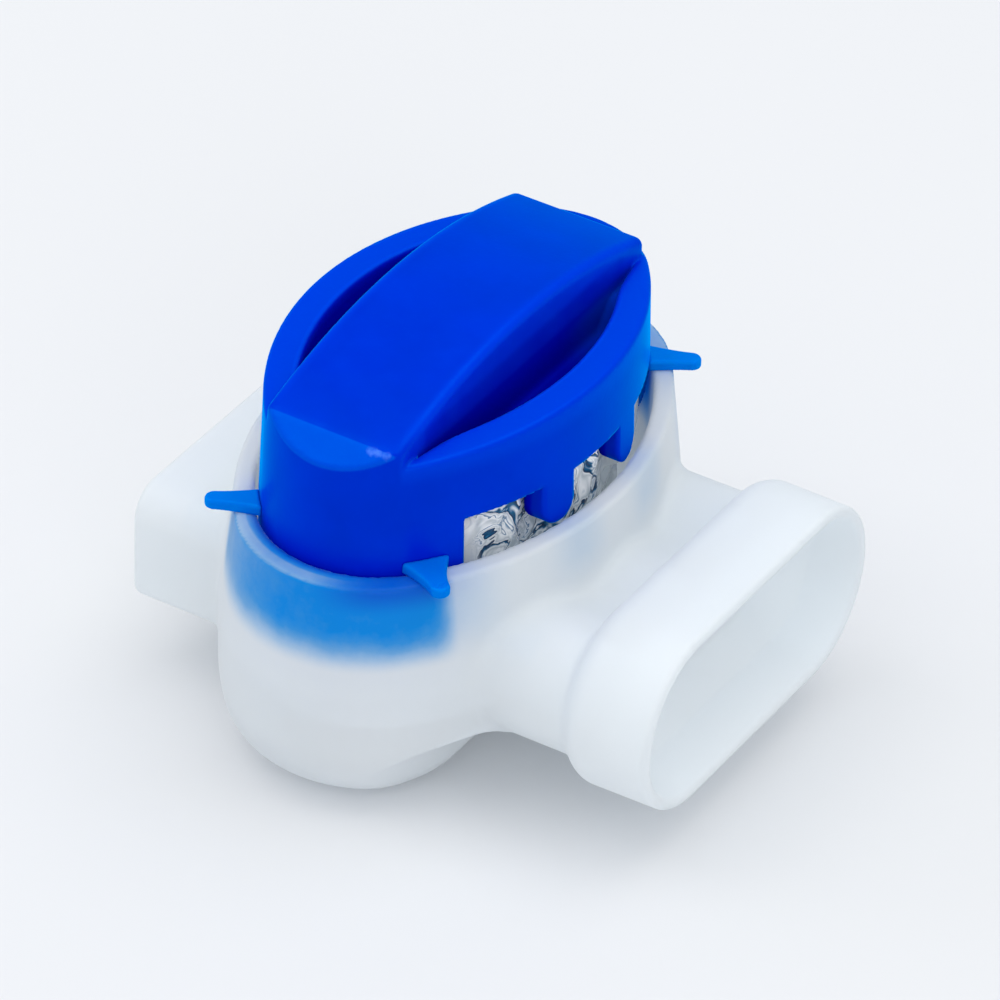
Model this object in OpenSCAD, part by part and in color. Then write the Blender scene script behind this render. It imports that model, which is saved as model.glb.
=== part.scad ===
/* [Cup] */
// Height of the wires' own axis above the foot
wire_z = 7; // [6.5:0.1:7.5]
// Height of the cup's rim above the foot
rim_z = 13.4; // [13:0.1:14]
// Wall of the cup's rim at its sides
rim_side_t = 0.95; // [0.8:0.05:1.3]
// Wall of the cup's rim at its two ends
rim_end_t = 1.3; // [1:0.05:1.6]
// How far the cup's side leans out between its rim and the wires' level
side_lean = 0.75; // [0:0.05:1]
// Height of the ledge under the wire ports, where the narrower bowl starts
ledge_z = 3.9; // [3.5:0.1:4.2]
// Distance of the bowl's flat side below that ledge, on the mouth's side
bowl_flat_x = 5.2; // [4.8:0.1:6]
// Radius of the bowl's round lower edge
foot_round = 3.8; // [2:0.1:3.8]
// Thickness of the cup's floor
floor_t = 1.2; // [0.8:0.1:1.6]

/* [Wire entry] */
// Radius of each wire port
port_r = 2.1; // [1.8:0.05:2.2]
// Distance between neighbouring wires
wire_pitch = 6.3; // [6:0.1:6.4]
// Outer radius of the barrel round each port
barrel_r = 3.55; // [3.3:0.05:3.7]
// How far the barrels sit below the wires' axis
barrel_drop = 0.2; // [0:0.05:0.3]
// Half thickness of the web between the barrels
web_half = 2.75; // [2:0.05:2.9]
// Distance of the mouth from the cap's axis
mouth_x = 17.75; // [17:0.05:19]
// Length of the collar round the mouth
collar_len = 5.2; // [4.6:0.1:6]
// Half width of the collar, across the wires
collar_half_y = 10.7; // [10.4:0.1:11]
// Half height of the collar
collar_half_z = 4.95; // [4.2:0.05:5.2]
// How far the collar narrows towards the mouth
collar_taper = 0.1; // [0:0.05:0.4]
// Radius of the collar's round shoulder
collar_round = 1.4; // [0.8:0.1:1.6]
// Wall of the collar at its lip
lip_t = 0.7; // [0.5:0.05:1]
// Depth of the funnel behind the lip
funnel_depth = 4.2; // [3.6:0.1:4.6]

/* [Rear hood] */
// Distance of the hood's end from the cap's axis
hood_x = 13; // [12.4:0.1:14]
// Half width of the hood
hood_half_y = 9.6; // [9.2:0.1:10]
// Height of the hood's top above the wires' axis
hood_up = 3.3; // [2.9:0.1:3.6]
// Depth of the hood's underside below the wires' axis
hood_down = 3; // [2.8:0.1:3.3]
// Radius of the hood's upper edges
hood_round = 1.9; // [1:0.1:2.4]
// Wall at the hood's closed end
hood_wall = 1; // [0.8:0.1:1.4]

/* [Cap] */
// Half width of the cap's skirt, along the wires
cap_half_x = 8.3; // [8.1:0.05:8.4]
// Half length of the cap's skirt, across the wires
cap_half_y = 13; // [12.8:0.05:13.1]
// How far the cap's side leans in between the rim and the ring
crown_in = 0.2; // [0:0.05:0.4]
// Height of the cap's ring above the cup's rim while the cap stands open
ring_over = 6.4; // [6:0.1:7]
// How far the ring falls from its middle to its ends
ring_sag = 0.5; // [0.2:0.05:0.8]
// Width of the ring round the two finger hollows
ring_w = 1.55; // [1.2:0.05:2]
// Depth of the finger hollows below the ring
hollow_depth = 2.7; // [2:0.1:3]
// Half length of the hollows' deep part, across the wires
hollow_deep_y = 8.3; // [7.8:0.1:8.8]
// Depth of the shallow ramps at the hollows' ends, where they start
ramp_depth = 1; // [0.7:0.05:1.3]
// Thickness of the cap's top plate
plate_t = 1; // [0.8:0.05:1.2]
// Half width of the grip bar
bar_half = 3.85; // [3.6:0.05:4]
// Height of the grip bar's ends above the ring
bar_end_up = 0.55; // [0.3:0.05:1]
// Rise of the grip bar's crown above its ends
bar_crown = 1.85; // [1:0.05:2.2]
// Height of the sloping facet's upper edge above the ring, at the bar's near end
facet_up = 0.4; // [0.2:0.05:0.6]
// Depth of the sloping facet's outer edge below the ring
facet_down = 0.7; // [0.5:0.05:0.9]
// Wall of the grip bar round its pocket
bar_wall = 1.15; // [1:0.05:1.3]
// Wall of the skirt
skirt_t = 1.25; // [1:0.05:1.5]
// Depth of the skirt's end lobes below the rim
skirt_drop = 4.6; // [4:0.1:5]
// Height of the windows' upper edge above the cup's rim
window_up = 2.3; // [1.8:0.05:2.5]
// Half width of each tongue between the wires
tongue_half = 1.1; // [0.8:0.05:1.15]
// Distance of each tongue from the middle
tongue_y = 3.15; // [3:0.05:3.3]
// Distance from the middle at which the end lobes begin
lobe_y = 8.6; // [8.4:0.05:9]
// Gap between the skirt and the cup
slide_gap = 0.2; // [0.15:0.01:0.3]

/* [Contact] */
// Thickness of the contact's sheet
sheet_t = 0.8; // [0.6:0.05:0.9]
// Outer width of the folded contact, along the wires
contact_w = 5.2; // [4.8:0.05:5.3]
// Distance of the contact's end from the cap's end
contact_in = 4.2; // [4:0.1:4.5]
// Height of the contact's tips above the wires' axis while the cap stands open
tip_up = 2.45; // [2.3:0.05:3]
// Width of each wire slot
slot_w = 0.7; // [0.5:0.05:1]
// Length of each wire slot above its mouth
slot_len = 4.4; // [4:0.1:5]
// Width of each slot's mouth at the tips
slot_mouth = 2.6; // [2:0.1:3]

/* [Holding tabs] */
// Width of the narrow tabs at their roots
narrow_root = 1.6; // [1.2:0.1:2.4]
// Width of the wide tabs at their roots
wide_root = 2.4; // [1.6:0.1:2.8]
// Width of a tab at its tip
tab_tip = 1; // [0.8:0.05:1.1]
// Length of the narrow tabs
narrow_len = 2.7; // [2.4:0.1:3.2]
// Length of the wide tabs
wide_len = 2.6; // [2.2:0.1:3]
// Thickness of a tab
tab_t = 0.6; // [0.5:0.05:0.8]
// Distance of a narrow tab's root from the cap's end, across the wires
narrow_in = 2.35; // [2:0.05:3]
// Distance of a wide tab's root from the cap's end, across the wires
wide_in = 2.6; // [2:0.05:3]
// Direction of the narrow tabs, turned from the wires' direction
narrow_turn = 28; // [20:1:50]
// Direction of the wide tabs, turned from the wires' direction
wide_turn = 38; // [30:1:50]

/* [Hidden] */
$fn = 64;
eps = 0.01;
travel = 4.2;
wire_ys = [-wire_pitch, 0, wire_pitch];
cup_half_x = cap_half_x + slide_gap;
cup_half_y = cap_half_y + slide_gap;
rim_half_x = cup_half_x + rim_side_t;
rim_half_y = cup_half_y + rim_end_t;
oval_end_r = 0.69;
ring_z = rim_z + ring_over;
bar_top_z = ring_z + bar_end_up + bar_crown;
above_z = bar_top_z + 1;
plate_z = ring_z - hollow_depth;
under_z = plate_z - plate_t;
contact_fit = 0.05;
pocket_half = bar_half - bar_wall;
contact_len = 2 * (cap_half_y - contact_in);
pocket_z = ring_z + 0.1;

// Radius of an oval's end arcs, as a share of its half width
function end_r(p) = p * oval_end_r;
// Radius of an oval's side arcs, which meet the end arcs without a corner
function side_r(p, q) = (p * p + pow(q - end_r(p), 2) - pow(end_r(p), 2)) / (2 * (p - end_r(p)));
// Half width of an oval at a distance y from its middle
function oval_x(p, q, y) =
    let (r = end_r(p), big = side_r(p, q), turn_y = (q - r) * big / (big - r))
    abs(y) < turn_y ? sqrt(big * big - y * y) - big + p
                    : sqrt(max(0, r * r - pow(abs(y) - q + r, 2)));
// Outline of an oval as points, for lofted solids
function oval_points(p, q, count = 72) =
    let (r = end_r(p), big = side_r(p, q), turn = atan2(q - r, big - p))
    [for (i = [0:count - 1])
        let (a = 360 * i / count, side = cos(a) >= 0 ? 1 : -1,
             fold = a <= 90 ? a : a <= 180 ? 180 - a : a <= 270 ? a - 180 : 360 - a,
             up = a <= 180 ? 1 : -1)
        fold < turn ? [side * (big * cos(fold) - big + p), up * big * sin(fold)]
                    : [side * r * cos(fold), up * (q - r + r * sin(fold))]];
// Outline of a rounded bar as points: half width, half height and end radius
function bar_points(half_y, half_z, r, count = 64) =
    [for (i = [0:count - 1])
        let (a = 360 * i / count)
        [(half_y - r) * (cos(a) >= 0 ? 1 : -1) + r * cos(a),
         (half_z - r) * (sin(a) >= 0 ? 1 : -1) + r * sin(a)]];

// Solid through a stack of rings with the same number of points
module loft(rings) {
    n = len(rings[0]);
    last = len(rings) - 1;
    polyhedron(
        points = [for (ring = rings) each ring],
        faces = concat(
            [[for (i = [0:n - 1]) i]],
            [for (k = [0:last - 1], i = [0:n - 1])
                let (j = (i + 1) % n)
                each [[k * n + i, (k + 1) * n + j, k * n + j],
                      [k * n + i, (k + 1) * n + i, (k + 1) * n + j]]],
            [[for (i = [n - 1:-1:0]) last * n + i]]));
}
// Oval drawn with true arcs
module oval(p, q) {
    r = end_r(p);
    big = side_r(p, q);
    turn_y = (q - r) * big / (big - r);
    intersection() {
        translate([p - big, 0]) circle(big, $fn = 180);
        translate([big - p, 0]) circle(big, $fn = 180);
        square([2 * p + 1, 2 * turn_y], center = true);
    }
    for (s = [-1, 1]) intersection() {
        translate([0, s * (q - r)]) circle(r);
        translate([0, s * (turn_y + r) ]) square([2 * p, 2 * r + eps], center = true);
    }
}
// Upright solid on an oval, from z0 to z1
module oval_block(p, q, z0, z1) {
    translate([0, 0, z0]) linear_extrude(z1 - z0) oval(p, q);
}
// Rod along the wires at a distance y from the middle, from x0 to x1
module rod_x(r, x0, x1, y) {
    translate([x0, y, wire_z]) rotate([0, 90, 0]) cylinder(r = r, h = x1 - x0);
}
// Box from one corner to the other
module block(a, b) {
    translate(a) cube(b - a);
}

// Outer form of the cup, with its leaning side and its round lower edge
module cup_form() {
    wide_x = rim_half_x + side_lean;
    wide_y = rim_half_y + side_lean;
    steps = 8;
    loft([
        for (p = [[wide_x, wide_y, ledge_z], [wide_x, wide_y, wire_z], [rim_half_x, rim_half_y, rim_z]])
            [for (q = oval_points(p[0], p[1])) [q[0], q[1], p[2]]]]);
    difference() {
        loft([for (i = [0:steps + 1])
            let (a = min(90, 90 * i / steps), inset = foot_round * (1 - sin(a)),
                 z = i > steps ? ledge_z + eps : foot_round * (1 - cos(a)))
            [for (v = oval_points(wide_x - inset, wide_y - inset)) [v[0], v[1], z]]]);
        block([bowl_flat_x, -wide_y - 1, -1], [wide_x + 1, wide_y + 1, ledge_z]);
    }
}
// Ring of a flat-sided form along the wires, at a distance x
function station(x, half_y, half_z, r) =
    [for (p = bar_points(half_y, half_z, r)) [x, p[0], wire_z + p[1]]];
// Collar round the mouth, with its round shoulder
module collar() {
    x0 = mouth_x - collar_len;
    steps = 6;
    loft(concat(
        [for (i = [0:steps])
            let (a = 90 * i / steps, inset = collar_round * (1 - sin(a)), x = x0 + collar_round * (1 - cos(a)))
            station(x, collar_half_y - inset, collar_half_z - inset, collar_half_z - inset)],
        [station(mouth_x - 0.4, collar_half_y, collar_half_z - collar_taper, collar_half_z - collar_taper),
         station(mouth_x, collar_half_y - 0.15, collar_half_z - collar_taper - 0.15, collar_half_z - collar_taper - 0.15)]));
}
// Flared hollow inside the mouth
module funnel() {
    half_y = collar_half_y - lip_t;
    half_z = collar_half_z - collar_taper - lip_t;
    back_y = wire_pitch + port_r + 0.2;
    back_z = port_r + 0.2;
    loft([
        station(mouth_x - funnel_depth, back_y, back_z, back_z),
        station(mouth_x - funnel_depth * 0.62, half_y - 0.5, half_z - 0.5, half_z - 0.5),
        station(mouth_x - 0.8, half_y - 0.1, half_z - 0.1, half_z - 0.1),
        station(mouth_x + eps, half_y + 0.15, half_z + 0.15, half_z + 0.15)]);
}
// Three wire barrels with the web between them
module neck() {
    translate([0, 0, -barrel_drop])
        for (y = wire_ys) rod_x(barrel_r, 0, mouth_x - collar_len + collar_round, y);
    block([0, -wire_pitch, wire_z - barrel_drop - barrel_r], [mouth_x - collar_len + collar_round, wire_pitch, wire_z + web_half]);
}
// Closed hood over the wires' ends
module hood() {
    edge = 0.6;
    corners = [for (c = [[-1, -1, edge], [1, -1, edge], [1, 1, hood_round], [-1, 1, hood_round]]) c];
    half = (hood_up + hood_down) / 2;
    mid = (hood_up - hood_down) / 2;
    steps = 8;
    outline = function(inset) [for (c = corners, i = [0:steps])
        let (r = c[2], start = c[0] < 0 ? (c[1] < 0 ? 180 : 90) : (c[1] < 0 ? 270 : 0), a = start + 90 * i / steps)
        [c[0] * (hood_half_y - inset - r) + r * cos(a), mid + c[1] * (half - inset - r) + r * sin(a)]];
    ring = function(x, inset) [for (p = outline(inset)) [x, p[0], wire_z + p[1]]];
    loft([ring(-hood_x, edge), ring(-hood_x + edge * 0.3, edge * 0.3), ring(-hood_x + edge, 0), ring(0, 0)]);
}
// Trough for the wire at a distance y from the middle, open at the top
module cradle(y) {
    translate([-cap_half_x, y, wire_z]) rotate([90, 0, 90]) linear_extrude(2 * cap_half_x)
        polygon(concat([for (a = [180:30:360]) port_r * [cos(a), sin(a)]],
                       [[port_r, rim_z - wire_z], [-port_r, rim_z - wire_z]]));
}
// Bed that holds the wires inside the cup, with clefts for the contact's legs
module wire_bed() {
    bed_half_y = wire_pitch + port_r + 0.8;
    difference() {
        intersection() {
            oval_block(cap_half_x - skirt_t - 0.35, cap_half_y - skirt_t - 0.35, floor_t - eps, wire_z + 0.9);
            block([-cap_half_x, -bed_half_y, 0], [cap_half_x, bed_half_y, rim_z]);
        }
        for (y = wire_ys) cradle(y);
        for (s = [-1, 1])
            translate([s * (contact_w - sheet_t) / 2 - 0.8, -contact_len / 2 - 0.4, wire_z + tip_up - travel - 0.4])
                cube([1.6, contact_len + 0.8, rim_z]);
    }
}
module housing() color("white") {
    difference() {
        union() {
            cup_form();
            neck();
            collar();
            hood();
        }
        oval_block(cup_half_x, cup_half_y, floor_t, rim_z + 1);
        funnel();
        for (y = wire_ys) rod_x(port_r, cup_half_x * 0.6, mouth_x - funnel_depth + eps, y);
        block([-hood_x + hood_wall, -wire_pitch - port_r, wire_z - port_r],
              [-cup_half_x * 0.6, wire_pitch + port_r, wire_z + port_r]);
    }
    wire_bed();
}

// Solid under an arched surface: crown height z, fall at the distance half_y
module arch(half_x, half_y, z0, z, fall) {
    r = (half_y * half_y + fall * fall) / (2 * fall);
    intersection() {
        block([-half_x, -half_y - 2, z0], [half_x, half_y + 2, z + 1]);
        translate([-half_x, 0, z - r]) rotate([0, 90, 0]) cylinder(r = r, h = 2 * half_x, $fn = 360);
    }
}
// Ends of the grip bar lie where its sides meet the cap's outline
top_half_x = cap_half_x - crown_in;
top_half_y = cap_half_y - crown_in;
bar_half_y = top_half_y - 1.65;
// Grip bar: an arched top between two flat ends
module grip_bar() {
    arch(bar_half, bar_half_y, under_z, bar_top_z, bar_crown);
}
// Outer form of the cap, upright below the rim and leaning in above it
module cap_form(z0, z1) {
    loft([for (p = [[cap_half_x, cap_half_y, z0], [cap_half_x, cap_half_y, rim_z], [top_half_x, top_half_y, z1]])
        [for (q = oval_points(p[0], p[1])) [q[0], q[1], p[2]]]]);
}
// Space of the two finger hollows, with the shallow ramps at their ends
module hollows() {
    end_y = top_half_y - ring_w;
    side = [[hollow_deep_y, plate_z], [hollow_deep_y + 0.7, ring_z - ramp_depth], [end_y, ring_z - ramp_depth / 2]];
    intersection() {
        oval_block(top_half_x - ring_w, end_y, plate_z, above_z);
        translate([-cap_half_x, 0, 0]) rotate([90, 0, 90]) linear_extrude(2 * cap_half_x)
            polygon(concat([for (q = side) q], [[end_y, above_z], [-end_y, above_z]],
                           [for (i = [2:-1:0]) [-side[i][0], side[i][1]]]));
    }
}
// Wedge that cuts the sloping facet at the bar's near end
module facet_cut() {
    y = -bar_half_y + 0.2;
    translate([-cap_half_x, 0, 0]) rotate([90, 0, 90]) linear_extrude(2 * cap_half_x)
        polygon([[y, ring_z + facet_up], [-top_half_y, ring_z - facet_down],
                 [-cap_half_y - 2, ring_z - facet_down - 1.3], [-cap_half_y - 2, above_z], [y, above_z]]);
}
module cap() color("royalblue") {
    lobe_z = rim_z - skirt_drop;
    difference() {
        union() {
            difference() {
                intersection() {
                    cap_form(lobe_z, ring_z + eps);
                    arch(cap_half_x + 1, cap_half_y, 0, ring_z, ring_sag);
                }
                hollows();
            }
            intersection() {
                oval_block(top_half_x, top_half_y, under_z, above_z);
                grip_bar();
                block([-cap_half_x, -cap_half_y, 0], [cap_half_x, bar_half_y, above_z]);
            }
        }
        facet_cut();
        oval_block(cap_half_x - skirt_t, cap_half_y - skirt_t, lobe_z - 1, under_z);
        difference() {
            block([-cap_half_x - 1, -lobe_y, lobe_z - 1], [cap_half_x + 1, lobe_y, rim_z + window_up]);
            for (s = [-1, 1]) {
                tongue_z = rim_z - 0.2 + tongue_half;
                translate([-cap_half_x - 2, s * tongue_y, tongue_z]) rotate([0, 90, 0])
                    cylinder(r = tongue_half, h = 2 * cap_half_x + 4);
                block([-cap_half_x - 2, s * tongue_y - tongue_half, tongue_z],
                      [cap_half_x + 2, s * tongue_y + tongue_half, under_z + 1]);
            }
        }
        block([-pocket_half, -contact_len / 2 - 0.3, lobe_z], [pocket_half, contact_len / 2 + 0.3, pocket_z]);
    }
}

// Folded sheet with three wire slots in each leg
module contact() color("silver") {
    z0 = wire_z + tip_up;
    z1 = pocket_z - contact_fit;
    difference() {
        block([-contact_w / 2, -contact_len / 2, z0], [contact_w / 2, contact_len / 2, z1]);
        block([-contact_w / 2 + sheet_t, -contact_len, z0 - 1], [contact_w / 2 - sheet_t, contact_len, z1 - sheet_t]);
        for (y = wire_ys) {
            block([-contact_w, y - slot_w / 2, z0 - 1], [contact_w, y + slot_w / 2, z0 + 1.2 + slot_len]);
            translate([-contact_w, y, z0]) rotate([90, 0, 90]) linear_extrude(2 * contact_w)
                polygon([[-slot_mouth / 2, -eps], [slot_mouth / 2, -eps], [slot_w / 2, 1.2], [-slot_w / 2, 1.2]]);
        }
    }
}

// Clear sealant round the contact, under the cap, which swells into the cap's windows
module sealant_gel() color([0.8, 0.85, 0.88]) {
    gel_gap = 0.3;
    z0 = wire_z + tip_up + 0.05;
    top = rim_z + window_up - gel_gap;
    tongue_in = tongue_y - tongue_half - gel_gap;
    tongue_out = tongue_y + tongue_half + gel_gap;
    lobe_in = lobe_y - gel_gap;
    intersection() {
        oval_block(cap_half_x - 0.5, cap_half_y - 0.5, rim_z - 1.5, top);
        for (w = [[-lobe_in, -tongue_out], [-tongue_in, tongue_in], [tongue_out, lobe_in]])
            for (side = [[-cap_half_x, -contact_w / 2 - 1], [contact_w / 2 + 1, cap_half_x]])
                block([side[0], w[0], rim_z - 1.5], [side[1], w[1], top]);
    }
    difference() {
        oval_block(cap_half_x - skirt_t - gel_gap, cap_half_y - skirt_t - gel_gap, z0, under_z - gel_gap);
        block([-contact_w / 2 - gel_gap, -contact_len / 2 - gel_gap, z0 - 1],
              [contact_w / 2 + gel_gap, contact_len / 2 + gel_gap, ring_z]);
    }
}

// Flat tab that stands on the rim and holds the open cap up
module holding_tab(sx, sy) color("dodgerblue") {
    wide = sx * sy < 0;
    tab_y = cap_half_y - (wide ? wide_in : narrow_in);
    root_x = oval_x(cap_half_x, cap_half_y, tab_y);
    root = wide ? wide_root : narrow_root;
    turn = wide ? wide_turn : narrow_turn;
    tip = (wide ? wide_len : narrow_len) - tab_tip / 2;
    mirror([sx < 0 ? 1 : 0, 0, 0]) mirror([0, sy < 0 ? 1 : 0, 0]) difference() {
        translate([root_x, tab_y, rim_z]) rotate(turn) linear_extrude(tab_t) {
            polygon([[-1, -root / 2], [0, -root / 2], [tip, -tab_tip / 2],
                     [tip, tab_tip / 2], [0, root / 2], [-1, root / 2]]);
            translate([tip, 0]) circle(tab_tip / 2);
        }
        oval_block(cap_half_x, cap_half_y, rim_z - 1, rim_z + 2);
    }
}

tab_sides = [[-1, -1], [1, -1], [1, 1], [-1, 1]];
housing();
cap();
contact();
sealant_gel();
for (i = [0:3])
    holding_tab(tab_sides[i][0], tab_sides[i][1]);
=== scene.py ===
import math

import bpy
import numpy as np
from mathutils import Matrix, Vector


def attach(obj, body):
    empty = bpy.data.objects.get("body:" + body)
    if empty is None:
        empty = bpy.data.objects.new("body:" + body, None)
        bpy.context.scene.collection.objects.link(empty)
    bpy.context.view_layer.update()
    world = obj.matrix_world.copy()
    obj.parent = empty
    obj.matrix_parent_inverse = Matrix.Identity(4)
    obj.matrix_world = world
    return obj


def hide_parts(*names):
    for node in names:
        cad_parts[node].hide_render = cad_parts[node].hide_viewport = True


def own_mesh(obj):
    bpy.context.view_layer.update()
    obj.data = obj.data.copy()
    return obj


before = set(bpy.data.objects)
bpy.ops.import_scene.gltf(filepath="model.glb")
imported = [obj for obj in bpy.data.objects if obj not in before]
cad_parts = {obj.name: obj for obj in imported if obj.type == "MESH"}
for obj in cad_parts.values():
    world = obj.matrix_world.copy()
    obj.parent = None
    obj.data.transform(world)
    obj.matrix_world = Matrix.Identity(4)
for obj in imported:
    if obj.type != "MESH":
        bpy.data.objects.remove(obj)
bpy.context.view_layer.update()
MM = 0.001

# Sizes in mm, as in the solids
WIRE_Z, RIM_Z = 7.0, 13.4
RIM_X, RIM_Y, LEAN = 9.45, 14.5, 0.75
LEDGE_Z, BOWL_X, FOOT_R, CLOSED_Z = 3.9, 5.2, 3.8, 4.2
PORT_R, PITCH, BARREL_R, BARREL_DROP, WEB = 2.1, 6.3, 3.55, 0.2, 2.75
MOUTH_X, COLLAR_LEN, COLLAR_Y, COLLAR_Z = 17.75, 5.2, 10.7, 4.95
COLLAR_TAPER, COLLAR_R, LIP_T, FUNNEL = 0.1, 1.4, 0.7, 4.2
HOOD_X, HOOD_Y, HOOD_UP, HOOD_DOWN, HOOD_R, HOOD_WALL = 13.0, 9.6, 3.3, 3.0, 1.9, 1.0
CAP_X, CAP_Y, CROWN_IN, GAP = 8.3, 13.0, 0.2, 0.2
RING_Z, RING_SAG, RING_W, HOLLOW, PLATE = 19.8, 0.5, 1.55, 2.7, 1.0
BAR_X, BAR_END, BAR_CROWN, BAR_Y = 3.85, 0.55, 1.85, 11.15
SKIRT_T, SKIRT_DROP, WINDOW_UP, TONGUE, TONGUE_Y, LOBE_Y = 1.25, 4.6, 2.3, 1.1, 3.15, 8.6
CONTACT_W, CONTACT_L, TIP_UP, TRAVEL = 5.2, 17.6, 2.45, 4.2
WIRES = (-PITCH, 0.0, PITCH)
PLATE_Z = RING_Z - HOLLOW - PLATE

# Edges and fillets in mm, finer than in the solids
RIM_EDGE, FOOT_EDGE, LEDGE_EDGE, CUP_EDGE, PORT_EDGE = 0.12, 0.1, 0.3, 0.12, 0.15
BOWL_OUT, BOWL_EDGE, BOWL_FILLET = 1.1, 3.2, 2.4
BARREL_FILLET, NECK_FILLET, COLLAR_FILLET, HOOD_FILLET = 0.6, 0.7, 0.55, 0.5
MOUTH_EDGE, HOOD_EDGE, FUNNEL_FILLET = 0.28, 0.6, 0.5
RING_EDGE, BAR_EDGE, BAR_END_EDGE, SKIRT_EDGE, WINDOW_EDGE = 0.22, 0.42, 0.3, 0.2, 0.15

# The hollows' outline, and the facet's plane at the grip bar's near end
HOLLOW_X, HOLLOW_Y = CAP_X - CROWN_IN - RING_W - 0.2, CAP_Y - CROWN_IN - RING_W - 0.2
FACET_UP, FACET_SLOPE, FACET_Y, FACET_SIZE = 0.44, 0.78, BAR_Y + 0.3, 1.268


# Distance fields
def smin(a, b, k):
    """Union with a fillet of width k."""
    h = np.clip(0.5 + 0.5 * (b - a) / k, 0, 1)
    return b + (a - b) * h - k * h * (1 - h)


def smax(a, b, k):
    return -smin(-a, -b, k)


def rmax(a, b, r):
    """Intersection with its edge rounded to radius r."""
    within = np.minimum(np.maximum(a, b) + r, 0)
    return within + np.hypot(np.maximum(a + r, 0), np.maximum(b + r, 0)) - r


def step(t):
    t = np.clip(t, 0, 1)
    return t * t * (3 - 2 * t)


def arcs(p, q):
    """Radii of the end and side arcs of an oval with half sizes p and q."""
    r = 0.69 * p
    return r, (p * p + (q - r) ** 2 - r * r) / (2 * (p - r))


def oval(x, y, p, q):
    """Signed distance to an oval of four arcs."""
    r, big = arcs(p, q)
    ax, ay = np.abs(x), np.abs(y)
    side = np.hypot(ax - (p - big), ay) - big
    end = np.hypot(ax, ay - (q - r)) - r
    return np.where(ay * (big - p) < (ax - (p - big)) * (q - r), side, end)


def stadium(y, z, half_y, half_z):
    return np.hypot(np.maximum(np.abs(y) - (half_y - half_z), 0), z - WIRE_Z) - half_z


def cell_points(V, S, c):
    """Middle of the level's crossings in each cell, with the cells that have any."""
    total = np.zeros(c + (3,))
    count = np.zeros(c)
    for axis in range(3):
        other = [k for k in range(3) if k != axis]
        for da in (0, 1):
            for db in (0, 1):
                off = [0, 0, 0]
                off[other[0]], off[other[1]] = da, db
                a = tuple(slice(off[k], off[k] + c[k]) for k in range(3))
                off[axis] = 1
                b = tuple(slice(off[k], off[k] + c[k]) for k in range(3))
                m = S[a] != S[b]
                va, vb = V[a], V[b]
                t = np.where(m, va / np.where(m, va - vb, 1), 0)
                off[axis] = 0
                for k in range(3):
                    total[..., k] += np.where(m, (t if k == axis else off[k]), 0)
                count += m
    return total, count


def cell_faces(S, idx):
    """A quad round every grid edge that crosses the level."""
    faces = []
    for axis in range(3):
        o1, o2 = [(1, 2), (2, 0), (0, 1)][axis]
        sl_a = [slice(1, -1)] * 3
        sl_b = [slice(1, -1)] * 3
        sl_a[axis], sl_b[axis] = slice(0, -1), slice(1, None)
        A, B = S[tuple(sl_a)], S[tuple(sl_b)]
        base = np.stack(np.nonzero(A != B), -1)
        flip = A[A != B]
        base[:, o1] += 1
        base[:, o2] += 1
        q = []
        for d1, d2 in ((-1, -1), (0, -1), (0, 0), (-1, 0)):
            v = base.copy()
            v[:, o1] += d1
            v[:, o2] += d2
            q.append(idx[v[:, 0], v[:, 1], v[:, 2]])
        q = np.stack(q, -1)
        q[~flip] = q[~flip][:, ::-1]
        faces.append(q)
    F = np.concatenate(faces)
    return F[(F >= 0).all(1)]


def surface(name, f, lo, hi, grid, rounds=3):
    """Mesh of the zero level of f in a box, by surface nets drawn onto the level."""
    lo, hi = np.array(lo, float), np.array(hi, float)
    n = np.ceil((hi - lo) / grid).astype(int) + 1
    X, Y, Z = np.meshgrid(*(lo[i] + grid * np.arange(n[i]) for i in range(3)), indexing="ij")
    V = f(X, Y, Z)
    S = V < 0
    c = tuple(m - 1 for m in n)
    total, count = cell_points(V, S, c)
    cell = count > 0
    idx = -np.ones(c, int)
    idx[cell] = np.arange(cell.sum())
    where = np.stack(np.nonzero(cell), -1)
    P = lo + grid * (where + total[cell] / count[cell][:, None])
    F = cell_faces(S, idx)
    h, most, least_slope = grid * 0.05, 0.4 * grid, 0.2
    for _ in range(rounds):
        v = f(P[:, 0], P[:, 1], P[:, 2])
        g = np.stack([(f(*(P + h * e).T) - f(*(P - h * e).T)) / (2 * h) for e in np.eye(3)], -1)
        s = v / np.maximum((g * g).sum(1), least_slope)
        P = P - np.clip(s[:, None] * g, -most, most)
    me = bpy.data.meshes.new(name)
    me.vertices.add(len(P))
    me.vertices.foreach_set("co", (P * MM).ravel())
    me.loops.add(len(F) * 4)
    me.loops.foreach_set("vertex_index", F.ravel())
    me.polygons.add(len(F))
    me.polygons.foreach_set("loop_start", np.arange(len(F)) * 4)
    me.polygons.foreach_set("loop_total", np.full(len(F), 4))
    me.polygons.foreach_set("use_smooth", np.ones(len(F), bool))
    me.update(calc_edges=True)
    me.validate()
    ob = bpy.data.objects.new(name, me)
    bpy.context.collection.objects.link(ob)
    return ob


# The housing
def cup_outer(x, y, z):
    """Leaning oval wall on a round foot, cut back under the neck and blended there."""
    up = np.clip((z - WIRE_Z) / (RIM_Z - WIRE_Z), 0, 1)
    lean = LEAN * (1 - up)
    angle = np.arccos(np.clip(1 - z / FOOT_R, 0, 1))
    inset = FOOT_R * (1 - np.sin(angle)) * (z < FOOT_R)
    d = oval(x, y, RIM_X + lean - inset, RIM_Y + lean - inset)
    d = rmax(rmax(d, z - RIM_Z, RIM_EDGE), -z, FOOT_EDGE)
    upper = smax(d, LEDGE_Z - z, LEDGE_EDGE)
    lower = rmax(d, x - BOWL_X - BOWL_OUT, BOWL_EDGE)
    return np.maximum(smin(upper, lower, BOWL_FILLET), d)


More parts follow.
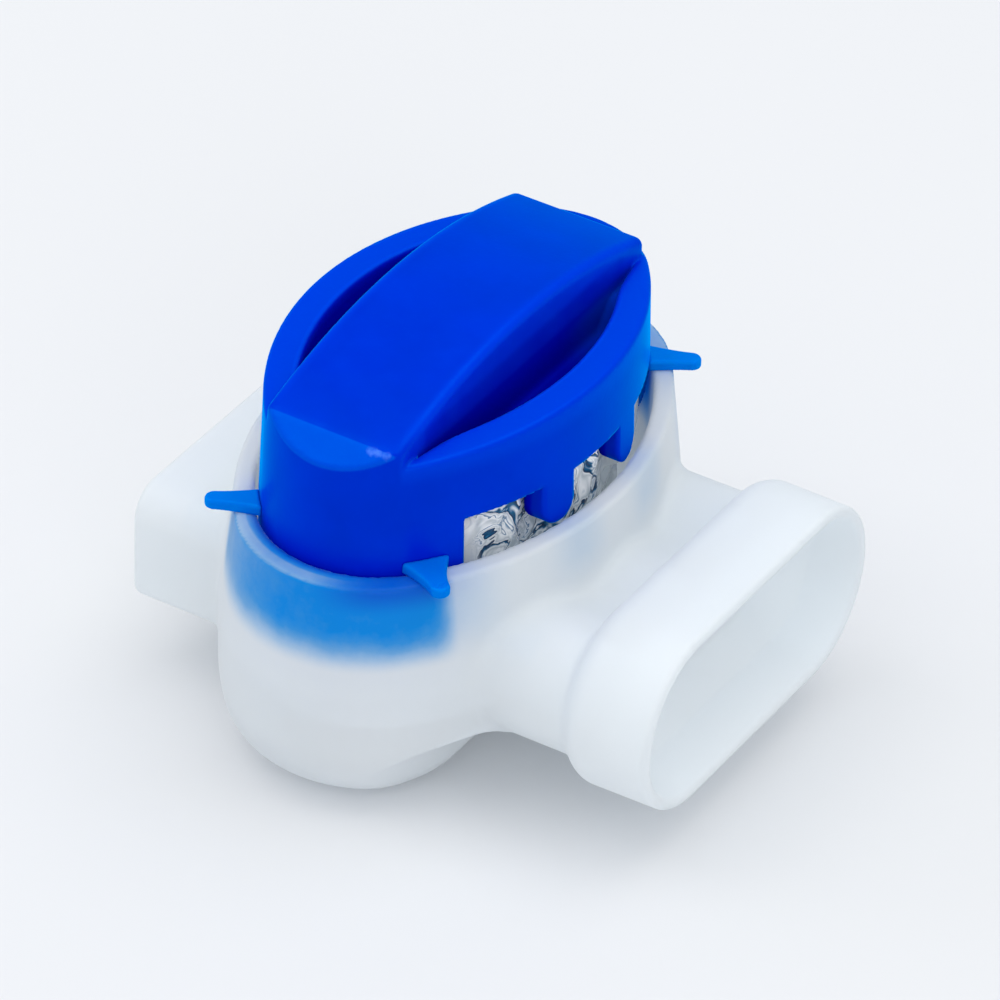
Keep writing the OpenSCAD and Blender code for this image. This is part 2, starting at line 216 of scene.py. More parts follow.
def neck(x, y, z):
    """Three barrels side by side, with a web over them."""
    mid_z, end_x = WIRE_Z - BARREL_DROP, 14
    d = None
    for w in WIRES:
        b = np.hypot(y - w, z - mid_z) - BARREL_R
        d = b if d is None else smin(d, b, BARREL_FILLET)
    web = np.maximum(np.abs(y) - PITCH, np.maximum(z - WIRE_Z - WEB, mid_z - BARREL_R - z))
    return np.maximum(smin(d, web, BARREL_FILLET), np.maximum(-x, x - end_x))


def collar(x, y, z):
    start, taper_end = MOUTH_X - COLLAR_LEN, 0.4
    t = np.clip((x - (start + COLLAR_R)) / (COLLAR_LEN - COLLAR_R - taper_end), 0, 1)
    d = stadium(y, z, COLLAR_Y, COLLAR_Z - COLLAR_TAPER * t)
    return rmax(rmax(d, start - x, COLLAR_R), x - MOUTH_X, MOUTH_EDGE)


def hood(x, y, z):
    """Closed box for the wires' ends, its upper edges rounder than its lower ones."""
    up = z - WIRE_Z - (HOOD_UP - HOOD_DOWN) / 2
    half = (HOOD_UP + HOOD_DOWN) / 2
    d = rmax(np.abs(y) - HOOD_Y, np.abs(up) - half, np.where(up > 0, HOOD_R, HOOD_EDGE))
    return np.maximum(rmax(d, -HOOD_X - x, HOOD_EDGE), x)


def mouth_hollow(x, y, z):
    """The funnel behind the mouth, and the three ports that go on from it."""
    start, port_in, overlap, wider = MOUTH_X - FUNNEL, 5, 0.2, 0.2
    half_y, half_z = COLLAR_Y - LIP_T, COLLAR_Z - COLLAR_TAPER - LIP_T
    at = [start, MOUTH_X - FUNNEL * 0.62, MOUTH_X - 0.8, MOUTH_X + 0.01]
    off = (-0.5, -0.1, 0.15)
    wide = np.interp(x, at, [PITCH + PORT_R + wider] + [half_y + v for v in off])
    high = np.interp(x, at, [PORT_R + wider] + [half_z + v for v in off])
    funnel = np.maximum(stadium(y, z, wide, high), start - x)
    ports = None
    for w in WIRES:
        b = np.hypot(y - w, z - WIRE_Z) - PORT_R
        tube = np.maximum(b, np.maximum(port_in - x, x - (start + overlap)))
        ports = tube if ports is None else np.minimum(ports, tube)
    return smin(funnel, ports, FUNNEL_FILLET)


def wire_bed(x, y, z):
    """Bed in the cup with a groove for each wire, and clefts for the contact's legs."""
    clear, above, beside, edge, slack, leg_t = 0.35, 0.9, 0.8, 0.1, 0.4, 0.8
    bed = oval(x, y, CAP_X - SKIRT_T - clear, CAP_Y - SKIRT_T - clear)
    bed = rmax(bed, z - WIRE_Z - above, edge)
    bed = np.maximum(bed, np.abs(y) - (PITCH + PORT_R + beside))
    for w in WIRES:
        open_top = np.maximum(np.abs(y - w) - PORT_R, WIRE_Z - z)
        bed = np.maximum(bed, -np.minimum(np.hypot(y - w, z - WIRE_Z) - PORT_R, open_top))
    leg = np.abs(np.abs(x) - (CONTACT_W - leg_t) / 2) - leg_t
    depth = WIRE_Z + TIP_UP - TRAVEL - slack - z
    bed = np.maximum(bed, -np.maximum(leg, np.maximum(np.abs(y) - CONTACT_L / 2 - slack, depth)))
    return np.maximum(bed, CLOSED_Z - 0.3 - z)


def housing_field(x, y, z):
    d = cup_outer(x, y, z)
    d = smin(d, neck(x, y, z), NECK_FILLET)
    d = smin(d, collar(x, y, z), COLLAR_FILLET)
    d = smin(d, hood(x, y, z), HOOD_FILLET)
    d = smax(d, -mouth_hollow(x, y, z), PORT_EDGE)
    # the cup is closed below the lowest place that the cap reaches
    cavity = np.maximum(oval(x, y, CAP_X + GAP, CAP_Y + GAP), CLOSED_Z - z)
    d = smax(d, -cavity, CUP_EDGE)
    room = np.maximum(np.abs(y) - PITCH - PORT_R, np.abs(z - WIRE_Z) - PORT_R)
    room_in = 5
    room = np.maximum(room, np.maximum(-HOOD_X + HOOD_WALL - x, x + room_in))
    return np.minimum(np.maximum(d, -room), wire_bed(x, y, z))


shell = surface("shell", housing_field, (-13.6, -15.9, -0.6), (18.4, 15.9, 14.0), grid=0.2)


# The cap
def cap_side(x, y, z):
    up = np.clip((z - RIM_Z) / (RING_Z - RIM_Z), 0, 1.1)
    return oval(x, y, CAP_X - CROWN_IN * up, CAP_Y - CROWN_IN * up)


def arch_z(y, half, top, fall):
    """Height of an arc that falls by fall at half from the middle."""
    r = (half * half + fall * fall) / (2 * fall)
    return top - r + np.sqrt(np.maximum(r * r - y * y, 0))


def finger_hollows(x, y, z):
    """The two hollows beside the bar, deep in the middle and shallow towards their tips."""
    along = np.abs(y)
    spread, spread_y, spread_size, corner = 0.22, 10.5, 1.024, 0.3
    bar_side = (np.abs(x) - BAR_X - spread * (spread_y - along)) / spread_size
    hollow = smin(oval(x, y, HOLLOW_X, HOLLOW_Y), bar_side, corner)
    tip_depth, tip_rise = 1.2, 0.8
    floor = RING_Z - HOLLOW + (HOLLOW - tip_depth) * step((along - 6.6) / 1.6)
    floor = floor + tip_rise * step((along - 8.4) / 2.4)
    return rmax(hollow, floor - z, 0.6 - 0.52 * step((along - 6.0) / 2.2))


def skirt_cuts(x, y, z):
    """The windows, with the tongues left standing between them and a slanted far lobe."""
    lobe_slant, lobe_out, lobe_size = 0.45, 0.3, 1.1
    window_z = RIM_Z + WINDOW_UP
    far_lobe = (y - LOBE_Y - lobe_out - lobe_slant * (window_z - z)) / lobe_size
    gap = np.maximum(np.maximum(-LOBE_Y - y, far_lobe), z - RIM_Z - WINDOW_UP)
    round_z = RIM_Z - 0.2 + TONGUE
    for s in (-1, 1):
        yy = y - s * TONGUE_Y
        tongue = np.where(z > round_z, np.abs(yy) - TONGUE, np.hypot(yy, z - round_z) - TONGUE)
        gap = np.maximum(gap, -tongue)
    return gap


def cap_field(x, y, z):
    along = np.abs(y)
    side = cap_side(x, y, z)
    body = rmax(side, z - arch_z(y, CAP_Y, RING_Z, RING_SAG), RING_EDGE)
    body = smax(body, -finger_hollows(x, y, z), RING_EDGE)
    # the grip bar with its facet
    top = z - arch_z(y, BAR_Y, RING_Z + BAR_END + BAR_CROWN, BAR_CROWN)
    bar = rmax(np.abs(x) - BAR_X, top, BAR_EDGE)
    facet = (z - (RING_Z + FACET_UP) - FACET_SLOPE * (y + FACET_Y)) / FACET_SIZE
    bar = smax(rmax(bar, y - BAR_Y, BAR_END_EDGE), facet, 0.1)
    bar = np.maximum(np.maximum(bar, side), PLATE_Z - z)
    facet_end = -9
    slope = np.where(y < facet_end, facet, -1)
    fillet = 0.4 - 0.32 * step((along - 6.0) / 2.5)
    d = smin(smax(body, slope, 0.2), bar, fillet)
    d = np.maximum(np.maximum(d, side), slope)
    # the skirt, hollow, with its windows and the contact's pocket
    d = rmax(d, RIM_Z - SKIRT_DROP - z, SKIRT_EDGE)
    inside = np.maximum(oval(x, y, CAP_X - SKIRT_T, CAP_Y - SKIRT_T), z - PLATE_Z)
    d = smax(d, -inside, WINDOW_EDGE)
    d = smax(d, -skirt_cuts(x, y, z), WINDOW_EDGE)
    pocket_x, pocket_out, pocket_over = 2.7, 0.3, 0.1
    pocket = np.maximum(along - CONTACT_L / 2 - pocket_out, z - RING_Z - pocket_over)
    return np.maximum(d, -np.maximum(np.abs(x) - pocket_x, pocket))


cap = surface("press_cap", cap_field, (-8.8, -13.6, 8.2), (8.8, 13.6, 22.8), grid=0.17)


# The four holding tabs, two wide and two narrow
# root width, angle, length, place along the cap
WIDE_TAB, NARROW_TAB = (2.4, 38, 2.6, 10.4), (1.6, 28, 2.7, 10.65)
TAB_TIP, TAB_T, TAB_FALL, TAB_CURVE, TAB_ROOT = 1.0, 0.6, 0.12, 1.6, 1.2
TAB_EDGE, TAB_FOOT_EDGE = 0.18, 0.08


def tab_maker(sx, sy):
    root, turn, length, ty = WIDE_TAB if sx * sy < 0 else NARROW_TAB
    p, q = CAP_X, CAP_Y
    r, big = arcs(p, q)
    turn_y = (q - r) * big / (big - r)
    if ty < turn_y:
        rx = math.sqrt(big * big - ty * ty) - big + p
    else:
        rx = math.sqrt(r * r - (ty - q + r) ** 2)
    c, s = math.cos(math.radians(turn)), math.sin(math.radians(turn))
    tip = length - TAB_TIP / 2

    def field(x, y, z):
        X, Y = x * sx - rx, y * sy - ty
        u, v = X * c + Y * s, -X * s + Y * c
        t = np.clip(u / tip, 0, 1)
        half = root / 2 + (TAB_TIP - root) / 2 * (1 - (1 - t) ** TAB_CURVE)
        flat = np.where(u > tip, np.hypot(u - tip, v) - TAB_TIP / 2, np.abs(v) - half)
        d = rmax(flat, z - (RIM_Z + TAB_T * (1 - TAB_FALL * t)), TAB_EDGE)
        d = rmax(d, RIM_Z - z, TAB_FOOT_EDGE)
        return np.maximum(np.maximum(d, -oval(x, y, CAP_X, CAP_Y)), -u - TAB_ROOT)

    xs, ys = sorted((sx * 3.4, sx * 8.6)), sorted((sy * 8.2, sy * 13.6))
    lo, hi = (xs[0], ys[0], RIM_Z - 0.3), (xs[1], ys[1], RIM_Z + 1.0)
    return field, lo, hi, (rx * sx, ty * sy), (c * sx, s * sy)


tabs = []
for i, (sx, sy) in enumerate(((-1, -1), (1, -1), (1, 1), (-1, 1))):
    field, lo, hi, at, way = tab_maker(sx, sy)
    tabs.append((surface("tab_%d" % (i + 1), field, lo, hi, grid=0.09), at, way))


# The sealant: middle, half width and swelling behind each window
SWELLS = ((0.0, 2.0, 0.9), (-6.4, 2.1, 0.9), (6.7, 2.45, 1.1))
SWELL_Z, SWELL_HALF, SWELL_POWER = 13.3, 2.15, 8


def gel_field(x, y, z):
    behind, set_back, edge, core = SKIRT_T + 0.3, 0.2, 0.3, 0.3
    wave = 0.10 * np.sin(2.1 * y + 1.3 * z) * np.sin(1.7 * z - 0.6 * y)
    wave = wave + 0.07 * np.sin(4.3 * y - 2.2 * z + 0.7)
    wave_end = 4
    swell = 0
    for mid, half, amount in SWELLS:
        across = np.clip(1 - ((y - mid) / half) ** SWELL_POWER, 0, 1)
        upright = np.clip(1 - ((z - SWELL_Z) / SWELL_HALF) ** SWELL_POWER, 0, 1)
        swell = swell + amount * across * upright
    d = oval(x, y, CAP_X - behind, CAP_Y - behind) + set_back + wave * (y < wave_end) - swell
    d = rmax(d, z - (PLATE_Z - 0.3), edge)
    d = rmax(d, WIRE_Z + TIP_UP + 0.05 - z, edge)
    contact = np.maximum(np.abs(x) - CONTACT_W / 2 - core, np.abs(y) - CONTACT_L / 2 - core)
    return np.maximum(d, -contact)


gel = surface("gel", gel_field, (-8.2, -12.2, 9.0), (8.2, 12.2, 16.2), grid=0.2)


# Material helpers
def material(name):
    m = bpy.data.materials.new(name)
    m.use_nodes = True
    nt = m.node_tree
    for n in list(nt.nodes):
        if n.type != "OUTPUT_MATERIAL":
            nt.nodes.remove(n)
    out = [n for n in nt.nodes if n.type == "OUTPUT_MATERIAL"][0]
    return m, nt, out.inputs["Surface"]


def add(nt, kind, inputs=None, **values):
    n = nt.nodes.new(kind)
    for k, v in values.items():
        setattr(n, k, v)
    for k, v in (inputs or {}).items():
        feed(nt, n.inputs[k], v)
    return n


def feed(nt, socket, value):
    """Link a socket's value, or set a plain one on the socket itself."""
    if isinstance(value, bpy.types.NodeSocket):
        nt.links.new(value, socket)
    elif socket.type == "RGBA" and len(value) == 3:
        socket.default_value = (*value, 1)
    else:
        socket.default_value = value


def place(nt):
    """The piece's own coordinates."""
    co = nt.nodes.get("co") or add(nt, "ShaderNodeTexCoord", name="co")
    return co.outputs["Object"]


def axes(nt, vector):
    split = add(nt, "ShaderNodeSeparateXYZ", {"Vector": vector})
    return [split.outputs[k] for k in "XYZ"]


def noise(nt, scale, detail=3.0, rough=0.5, distortion=0.0):
    n = add(nt, "ShaderNodeTexNoise", {
        "Vector": place(nt), "Scale": scale, "Detail": detail, "Roughness": rough,
        "Distortion": distortion}, noise_dimensions="3D")
    return n.outputs["Fac"]


def ramp(nt, src, stops):
    r = add(nt, "ShaderNodeValToRGB", {"Fac": src})
    e = r.color_ramp.elements
    while len(e) < len(stops):
        e.new(0.5)
    for i, (p, c) in enumerate(stops):
        e[i].position = p
        e[i].color = (*c, 1)
    return r.outputs["Color"]


def bump(nt, height, strength, distance):
    b = add(nt, "ShaderNodeBump", {"Strength": strength, "Distance": distance, "Height": height})
    return b.outputs["Normal"]


def math_node(nt, kind, *values):
    n = add(nt, "ShaderNodeMath", dict(enumerate(values)), operation=kind)
    return n.outputs["Value"]


def times(nt, first, *rest):
    for v in rest:
        first = math_node(nt, "MULTIPLY", first, v)
    return first


def plus(nt, a, b):
    return math_node(nt, "ADD", a, b)


def minus(nt, a, b):
    return math_node(nt, "SUBTRACT", a, b)


def soft_step(nt, value, lo, hi, top=1.0):
    """0 below lo, top above hi, smooth between; lo above hi turns it round."""
    turned = lo > hi
    n = add(nt, "ShaderNodeMapRange", {
        "Value": value, "From Min": min(lo, hi), "From Max": max(lo, hi),
        "To Min": top if turned else 0.0, "To Max": 0.0 if turned else top},
        interpolation_type="SMOOTHSTEP")
    return n.outputs["Result"]


def zone(nt, *steps):
    """Product of soft steps, each given as value, lo, hi and maybe top."""
    return times(nt, *[soft_step(nt, *s) for s in steps])


def mix_color(nt, fac, a, b, blend="MIX"):
    n = add(nt, "ShaderNodeMix", data_type="RGBA", blend_type=blend)
    for i, v in ((0, fac), (6, a), (7, b)):
        feed(nt, n.inputs[i], v)
    return n.outputs[2]


def mix_shader(nt, fac, a, b):
    n = add(nt, "ShaderNodeMixShader", {0: fac, 1: a, 2: b})
    return n.outputs["Shader"]


def oval_distance(nt, x, y, p, q):
    """Signed distance in mm to the oval of four arcs; x and y in metres."""
    r, big = arcs(p, q)
    ax = times(nt, math_node(nt, "ABSOLUTE", x), 1000)
    ay = times(nt, math_node(nt, "ABSOLUTE", y), 1000)

    def arc(cx, cy, radius):
        squares = [math_node(nt, "POWER", math_node(nt, "ABSOLUTE", minus(nt, v, mid)), 2.0)
                   for v, mid in ((ax, cx), (ay, cy))]
        return minus(nt, math_node(nt, "SQRT", plus(nt, *squares)), radius)

    side, end = arc(p - big, 0.0, big), arc(0.0, q - r, r)
    left = times(nt, ay, big - p)
    right = times(nt, minus(nt, ax, p - big), q - r)
    on_side = math_node(nt, "LESS_THAN", left, right)
    return plus(nt, end, times(nt, minus(nt, side, end), on_side))


# Colours, linear
DEEP_BLUE = ((0.0, 0.006, 0.52), (0.0, 0.010, 0.60))
# painted light: the tabs are the cap's own plastic, painted a lighter blue
PAINTED_LIGHT_TAB_BLUE = ((0.0, 0.14, 0.68), (0.0, 0.18, 0.78))
# the gloss colour for the hollows is painted shade, a dimmed reflection
CAP_GLOSS, TAB_GLOSS, PAINTED_HOLLOW_GLOSS_SHADE = (0.0, 0.36, 1.0), (0.0, 0.5, 1.0), (0.0, 0.02, 0.6)
# painted shade low in the hollows and deeper in them, and painted light on the ring
PAINTED_LOW_SHADE, PAINTED_HOLLOW_SHADE, PAINTED_RING_LIGHT = (0.0, 0.003, 0.50), (0.0, 0.0012, 0.40), (0.0, 0.022, 0.64)
# painted light on the facet, painted highlights along the bar's edges and along the ring's inner
# lip
PAINTED_FACET_LIGHT, PAINTED_EDGE_HIGHLIGHT, PAINTED_LIP_HIGHLIGHT = (0.0, 0.055, 0.64), (0.0, 0.035, 0.80), (0.0, 0.07, 0.90)
# painted sheen on the far skirt, and a painted highlight at the facet's corner
PAINTED_FAR_SHEEN, PAINTED_GLEAM = (0.0, 0.085, 0.62), (0.09, 0.22, 0.90)
WALL_TO_PAINTED_GLOW = [(0.0, (0.88, 0.91, 0.93)), (0.25, (0.47, 0.67, 0.88)), (0.5, (0.19, 0.48, 0.83)),
                 (0.75, (0.05, 0.37, 0.84)), (1.0, (0.0, 0.32, 0.87))]
DUSK = (0.0, 0.12, 0.72)
TIN = [(0.3, (0.70, 0.71, 0.72)), (0.7, (0.82, 0.83, 0.84))]
NIGHT, TEAL = (0.0, 0.035, 0.10), (0.0, 0.13, 0.28)
GREY, PALE = (0.55, 0.60, 0.63), (0.97, 0.98, 0.98)
PAINTED_FOLD_REFLECTIONS = [(0.36, PALE), (0.40, GREY), (0.43, PALE), (0.455, TEAL), (0.475, NIGHT), (0.49, NIGHT),
         (0.495, PALE), (0.52, GREY), (0.56, PALE), (0.585, TEAL), (0.59, PALE), (0.64, GREY)]
PLAIN_GEL = [(0.35, (0.60, 0.63, 0.63)), (0.500, (0.74, 0.76, 0.76)), (0.508, GREY),
             (0.516, (0.76, 0.78, 0.78)), (0.65, (0.82, 0.84, 0.85))]
FLOOR_TONE, SKY_TONE = (0.74, 0.75, 0.77), (0.96, 0.98, 1.0)
PLASTIC_IOR = 1.49


def cap_painted_shading(nt, col, gloss):
    """Painted light and shade on the cap by place: painted shade in the hollows, painted light on
    the ring and facet, painted highlights on the edges.
    """
    x, y, z = axes(nt, place(nt))
    ax = math_node(nt, "ABSOLUTE", x)
    e = oval_distance(nt, x, y, HOLLOW_X, HOLLOW_Y)
    # the facet's own plane, so that the skirt below keeps its colour
    plane = plus(nt, times(nt, y, FACET_SLOPE), (RING_Z + FACET_UP + FACET_SLOPE * FACET_Y) * MM)
    over = minus(nt, z, plane)

    def below_ring(drop):
        return (RING_Z - drop) * MM

    # painted shade in the hollows, painted light on the ring and the facet, painted highlights
    # along the bar's edges and the ring's inner lip, painted sheen on the far skirt
    painted_shading = (
        (PAINTED_LOW_SHADE, ((e, 1.3, 1.0), (z, below_ring(0.3), below_ring(0.8)), (ax, 0.0035, 0.0038))),
        (PAINTED_HOLLOW_SHADE, ((e, 0.15, -0.05), (z, below_ring(0.7), below_ring(2.3)))),
        (PAINTED_RING_LIGHT, ((e, 0.1, 0.35), (z, below_ring(1.6), below_ring(0.4)), (ax, 0.0037, 0.0040))),
        (PAINTED_FACET_LIGHT, ((y, -0.01142, -0.01150), (over, -0.00025, -0.00010))),
        (PAINTED_EDGE_HIGHLIGHT, ((ax, 0.0031, 0.0038), (z, 0.0202, 0.0208, 0.45))),
        (PAINTED_LIP_HIGHLIGHT, ((e, 0.02, 0.14), (e, 0.36, 0.2), (ax, 0.0038, 0.0041),
                    (z, below_ring(0.8), below_ring(0.5), 0.35))),
        (PAINTED_FAR_SHEEN, ((y, 0.003, 0.011, 0.9), (z, 0.0195, 0.0185))),
    )
    for tone, steps in painted_shading:
        col = mix_color(nt, zone(nt, *steps), col, tone)
    # a small patchy painted highlight at the facet's corner
    gleam_at, gleam_shape = (0.0027, -0.01160, 0.0201), (0.55, 1.6, 0.5)
    off = add(nt, "ShaderNodeVectorMath", {0: place(nt), 1: gleam_at}, operation="SUBTRACT")
    off = add(nt, "ShaderNodeVectorMath", {0: off.outputs[0], 1: gleam_shape}, operation="MULTIPLY")
    off = add(nt, "ShaderNodeVectorMath", {0: off.outputs[0]}, operation="LENGTH")
    patchy = times(nt, noise(nt, scale=2600, detail=2), 0.0006)
    gleam = soft_step(nt, plus(nt, off.outputs["Value"], patchy), 0.00072, 0.00035, 0.8)
    col = mix_color(nt, gleam, col, PAINTED_GLEAM)
    # painted shade: the gloss is dimmed in the hollows
    shade = zone(nt, (e, 1.3, 1.0), (z, below_ring(0.25), below_ring(0.8)))
    return col, mix_color(nt, shade, gloss, PAINTED_HOLLOW_GLOSS_SHADE)


def blue_plastic(name, blues, gloss, rough, painted_shading=False):
    """Deep blue plastic, whose satin gloss is tinted too, and stronger at a flat angle."""
    m, nt, surface_in = material(name)
    col = ramp(nt, noise(nt, scale=260), [(0.3, blues[0]), (0.7, blues[1])])
    shine = gloss
    # painted light and shade on the cap, and its gloss dimmed in the hollows as painted shade
    if painted_shading:
        col, shine = cap_painted_shading(nt, col, gloss)
    grain = bump(nt, noise(nt, scale=4200, detail=2), 0.3, 0.00002)
    body = add(nt, "ShaderNodeBsdfPrincipled", {
        "Base Color": col, "Normal": grain, "Roughness": rough, "IOR": PLASTIC_IOR,
        "Specular IOR Level": 0.0, "Subsurface Weight": 0.12,
        "Subsurface Radius": (0.1, 0.3, 1.0), "Subsurface Scale": 0.0012})
    uneven = ramp(nt, noise(nt, scale=900, detail=2),
                  [(0.3, (rough - 0.05,) * 3), (0.7, (rough + 0.07,) * 3)])
    coat = add(nt, "ShaderNodeBsdfGlossy", {"Color": shine, "Roughness": uneven, "Normal": grain})
    angle = add(nt, "ShaderNodeFresnel", {"IOR": PLASTIC_IOR, "Normal": grain})
    amount = times(nt, angle.outputs["Fac"], 1.5)
    nt.links.new(mix_shader(nt, amount, body.outputs["BSDF"], coat.outputs["BSDF"]), surface_in)
    return m


def painted_glow_and_shadow(nt, skirt):
    """How much of the skirt shows through the wall as painted glow, and how much of its painted
    shadow.

    Places are in the cap's coordinates, so that the zone follows the cap, and only
    heights on the rim are in the wall's own."""
    at = add(nt, "ShaderNodeTexCoord", object=skirt)
    side_x, side_y, z = axes(nt, at.outputs["Object"])
    x, y = math_node(nt, "ABSOLUTE", side_x), math_node(nt, "ABSOLUTE", side_y)
    own_z = axes(nt, place(nt))[2]
    near = soft_step(nt, y, 0.0102, 0.01145, 0.86)
    wide = soft_step(nt, y, 0.0070, 0.0110, 0.14)
    ends = plus(nt, near, wide)
    on_cup = soft_step(nt, x, 0.0105, 0.0098)
    # painted sheen: the wall turns whiter towards the rear
    turn = plus(nt, soft_step(nt, side_x, -0.0065, 0.0015, 0.5), 0.5)
    on_wall = times(nt, ends, soft_step(nt, z, 0.0086, 0.0113), on_cup, turn)
    # painted glow on the rim's top, palest in a strip along its outer edge
    from_cap = oval_distance(nt, x, y, CAP_X + GAP, CAP_Y + GAP)
    front = times(nt, ends, plus(nt, soft_step(nt, side_y, 0.002, -0.002, 0.6), 0.4))
    right = plus(nt, soft_step(nt, side_x, -0.0070, -0.0015, 0.60), 0.30)
    strip = zone(nt, (from_cap, 0.45, 0.65), (side_x, 0.0040, 0.0, 0.5))
    on_top = times(nt, front, right, minus(nt, 1.0, strip))
    top = soft_step(nt, own_z, 0.01325, 0.01338)
    glow = plus(nt, times(nt, on_wall, minus(nt, 1.0, top)), times(nt, on_top, top))
    # painted glow of the tongues behind the rim
    off = math_node(nt, "ABSOLUTE", minus(nt, y, TONGUE_Y * MM))
    spot = zone(nt, (off, 0.0026, 0.0002, 0.09), (z, 0.0100, 0.0124), (x, 0.0108, 0.0100))
    glow = math_node(nt, "MAXIMUM", glow, spot)
    mottle = plus(nt, times(nt, noise(nt, scale=520, detail=4, rough=0.6), 0.8), 0.6)
    # darker blue in the shadow of the skirt, most at the front
    inner = times(nt, soft_step(nt, from_cap, 0.55, 0.15), 0.8)
    dusk = math_node(nt, "MAXIMUM", inner, soft_step(nt, side_x, 0.0005, 0.0040))
    dusk = times(nt, dusk, soft_step(nt, side_y, 0.0, -0.002), on_cup, front,
                 soft_step(nt, own_z, 0.0118, 0.0133, 0.8))
    return times(nt, glow, mottle), dusk


def milky_plastic(name, skirt):
    """Milky wall; the blue skirt close behind it shows through as a soft azure glow painted into
    the wall's colour.
    """
    m, nt, surface_in = material(name)
    glow, dusk = painted_glow_and_shadow(nt, skirt)
    shade = mix_color(nt, dusk, ramp(nt, glow, WALL_TO_PAINTED_GLOW), DUSK)
    tone = ramp(nt, noise(nt, scale=90), [(0.3, (0.975, 0.985, 0.99)), (0.7, (1.0, 1.0, 1.0))])
    col = mix_color(nt, 1.0, shade, tone, blend="MULTIPLY")
    wall = add(nt, "ShaderNodeBsdfPrincipled", {
        "Base Color": col, "Roughness": 0.42, "IOR": PLASTIC_IOR, "Specular IOR Level": 0.15,
        "Sheen Weight": times(nt, minus(nt, 1.0, glow), 0.55), "Sheen Roughness": 0.28,
        "Normal": bump(nt, noise(nt, scale=2600, detail=2), 0.2, 0.00002)})
    through = add(nt, "ShaderNodeBsdfTranslucent", {"Color": col})
    bent = add(nt, "ShaderNodeBsdfRefraction", {"Color": col, "Roughness": 0.3, "IOR": 1.06})
    clear = add(nt, "ShaderNodeBsdfTransparent", {"Color": (0.95, 0.97, 0.985)})
    path = add(nt, "ShaderNodeLightPath")
    # most light passes the wall when it would cast a shadow
    passing = times(nt, path.outputs["Is Shadow Ray"], 0.7)
    mixed = mix_shader(nt, 0.28, wall.outputs["BSDF"], through.outputs["BSDF"])
    mixed = mix_shader(nt, 0.12, mixed, bent.outputs["BSDF"])
    nt.links.new(mix_shader(nt, passing, mixed, clear.outputs["BSDF"]), surface_in)
    return m


def metal(name):
    m, nt, surface_in = material(name)
    p = add(nt, "ShaderNodeBsdfPrincipled", {
        "Base Color": ramp(nt, noise(nt, scale=400), TIN), "Metallic": 1.0, "Roughness": 0.28,
        "Normal": bump(nt, noise(nt, scale=3000, detail=2), 0.2, 0.00002)})
    nt.links.new(p.outputs["BSDF"], surface_in)
    return m


def clear_gel(name):
    """Clear sealant, crumpled, with its reflections painted in as dark folds and glints; plain at
    the windows' ends.
    """
    m, nt, surface_in = material(name)
    x, y = axes(nt, place(nt))[:2]
    crumpled = zone(nt, (y, -0.0076, -0.0070), (y, 0.0045, 0.0030))
    crumpled = math_node(nt, "MAXIMUM", crumpled, soft_step(nt, x, 0.0, -0.001))
    fold = noise(nt, scale=300, detail=3.5, distortion=1.9)
    calm = noise(nt, scale=160, detail=2, distortion=0.8)
    # painted reflections: the folds' dark lines and glints are painted into the colour where the
    # gel is crumpled
    col = mix_color(nt, crumpled, ramp(nt, calm, PLAIN_GEL), ramp(nt, fold, PAINTED_FOLD_REFLECTIONS))
    p = add(nt, "ShaderNodeBsdfPrincipled", {
        "Base Color": col, "Metallic": 0.15, "Roughness": 0.12,
        "Normal": bump(nt, fold, crumpled, 0.0003)})
    nt.links.new(p.outputs["BSDF"], surface_in)
    return m


M_SHELL = milky_plastic("milky_plastic", cap)
M_CAP = blue_plastic("blue_plastic", DEEP_BLUE, CAP_GLOSS, 0.36, painted_shading=True)
M_TAB = blue_plastic("tab_plastic", PAINTED_LIGHT_TAB_BLUE, TAB_GLOSS, 0.32)
M_METAL = metal("tin_plate")
M_GEL = clear_gel("clear_sealant")


def dress(ob, mat):
    ob.data.materials.clear()
    ob.data.materials.append(mat)


dress(shell, M_SHELL)
dress(cap, M_CAP)
dress(gel, M_GEL)
for t, _, _ in tabs:
    dress(t, M_TAB)
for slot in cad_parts["contact"].material_slots:
    slot.material = M_METAL

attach(shell, "housing")
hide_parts("housing")
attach(cap, "cap")
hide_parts("cap")
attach(gel, "housing")
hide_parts("sealant_gel")
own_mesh(gel)
for i, (t, at, way) in enumerate(tabs):
    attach(t, "cap")
    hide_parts("holding_tab_%d" % (i + 1))
    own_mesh(t)


# Floor, light and camera
bpy.ops.mesh.primitive_plane_add(size=3, location=(0, 0, 0))
floor = bpy.context.object
floor.name = "floor"
m, nt, surface_in = material("pale_floor")
p = add(nt, "ShaderNodeBsdfPrincipled", {"Base Color": FLOOR_TONE, "Roughness": 0.6})
nt.links.new(p.outputs["BSDF"], surface_in)
floor.data.materials.append(m)

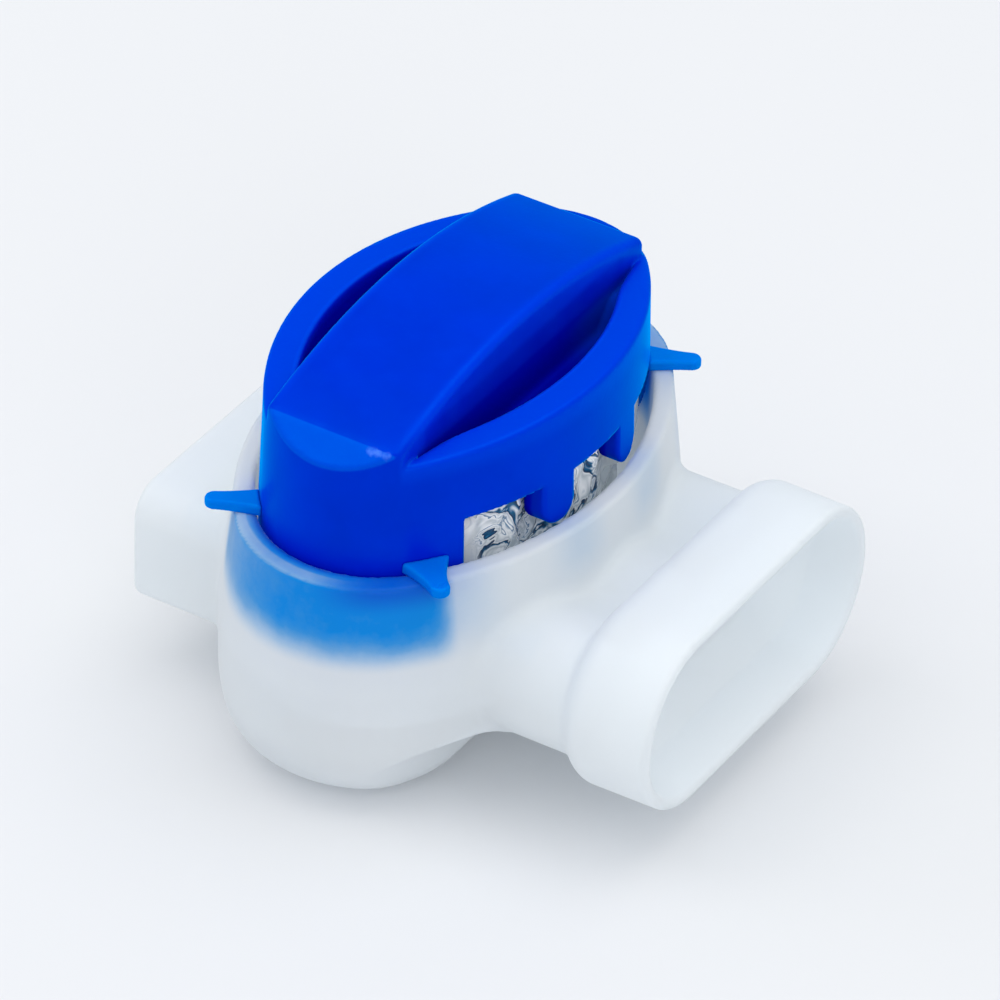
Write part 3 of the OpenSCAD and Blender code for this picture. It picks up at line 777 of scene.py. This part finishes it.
world = bpy.data.worlds.new("studio")
bpy.context.scene.world = world
world.use_nodes = True
bg = world.node_tree.nodes["Background"]
bg.inputs["Color"].default_value = (*SKY_TONE, 1)
bg.inputs["Strength"].default_value = 0.78


def area(name, loc, size, power, target=(0, 0, 0.01)):
    li = bpy.data.lights.new(name, "AREA")
    li.shape = "RECTANGLE"
    li.size, li.size_y = size
    li.energy = power
    ob = bpy.data.objects.new(name, li)
    bpy.context.collection.objects.link(ob)
    ob.location = loc
    ob.rotation_euler = (Vector(target) - Vector(loc)).to_track_quat("-Z", "Y").to_euler()


area("key", (-0.17, -0.08, 0.41), size=(0.24, 0.24), power=0.38)
area("key_2", (0.08, 0.12, 0.42), size=(0.32, 0.30), power=0.48)
area("fill", (0.30, -0.32, 0.20), size=(0.25, 0.25), power=0.35)
area("left", (-0.35, -0.10, 0.16), size=(0.2, 0.2), power=0.18)

# The camera's angles in degrees, distance in m, pixels per m at the part, and where
# the wires' middle stands in the picture of 1000 x 1000 pixels
AZ, EL, ROLL, DIST, SCALE = 30.99, 35.69, 1.92, 0.4, 20000.0
FRAME, SEEN_X, SEEN_Y, SENSOR = 1000, 453.1, 538.35, 36
az, el, roll = (math.radians(v) for v in (AZ, EL, ROLL))
back = Vector((math.sin(az) * math.cos(el), -math.cos(az) * math.cos(el), math.sin(el)))
right = (-back).cross(Vector((0, 0, 1))).normalized()
up = right.cross(-back)
r2 = right * math.cos(roll) + up * math.sin(roll)
u2 = -right * math.sin(roll) + up * math.cos(roll)
cam_data = bpy.data.cameras.new("camera")
cam = bpy.data.objects.new("camera", cam_data)
bpy.context.collection.objects.link(cam)
target = Vector((0, 0, WIRE_Z * MM))
pos = target + back * DIST + r2 * (FRAME / 2 - SEEN_X) / SCALE + u2 * (SEEN_Y - FRAME / 2) / SCALE
rot = Matrix((r2, u2, back)).transposed().to_4x4()
cam.matrix_world = Matrix.Translation(pos) @ rot
cam_data.sensor_width = SENSOR
cam_data.lens = SENSOR * DIST / (FRAME / SCALE)
cam_data.clip_start, cam_data.clip_end = 0.01, 20
bpy.context.scene.camera = cam
bpy.context.scene.view_settings.view_transform = "Standard"
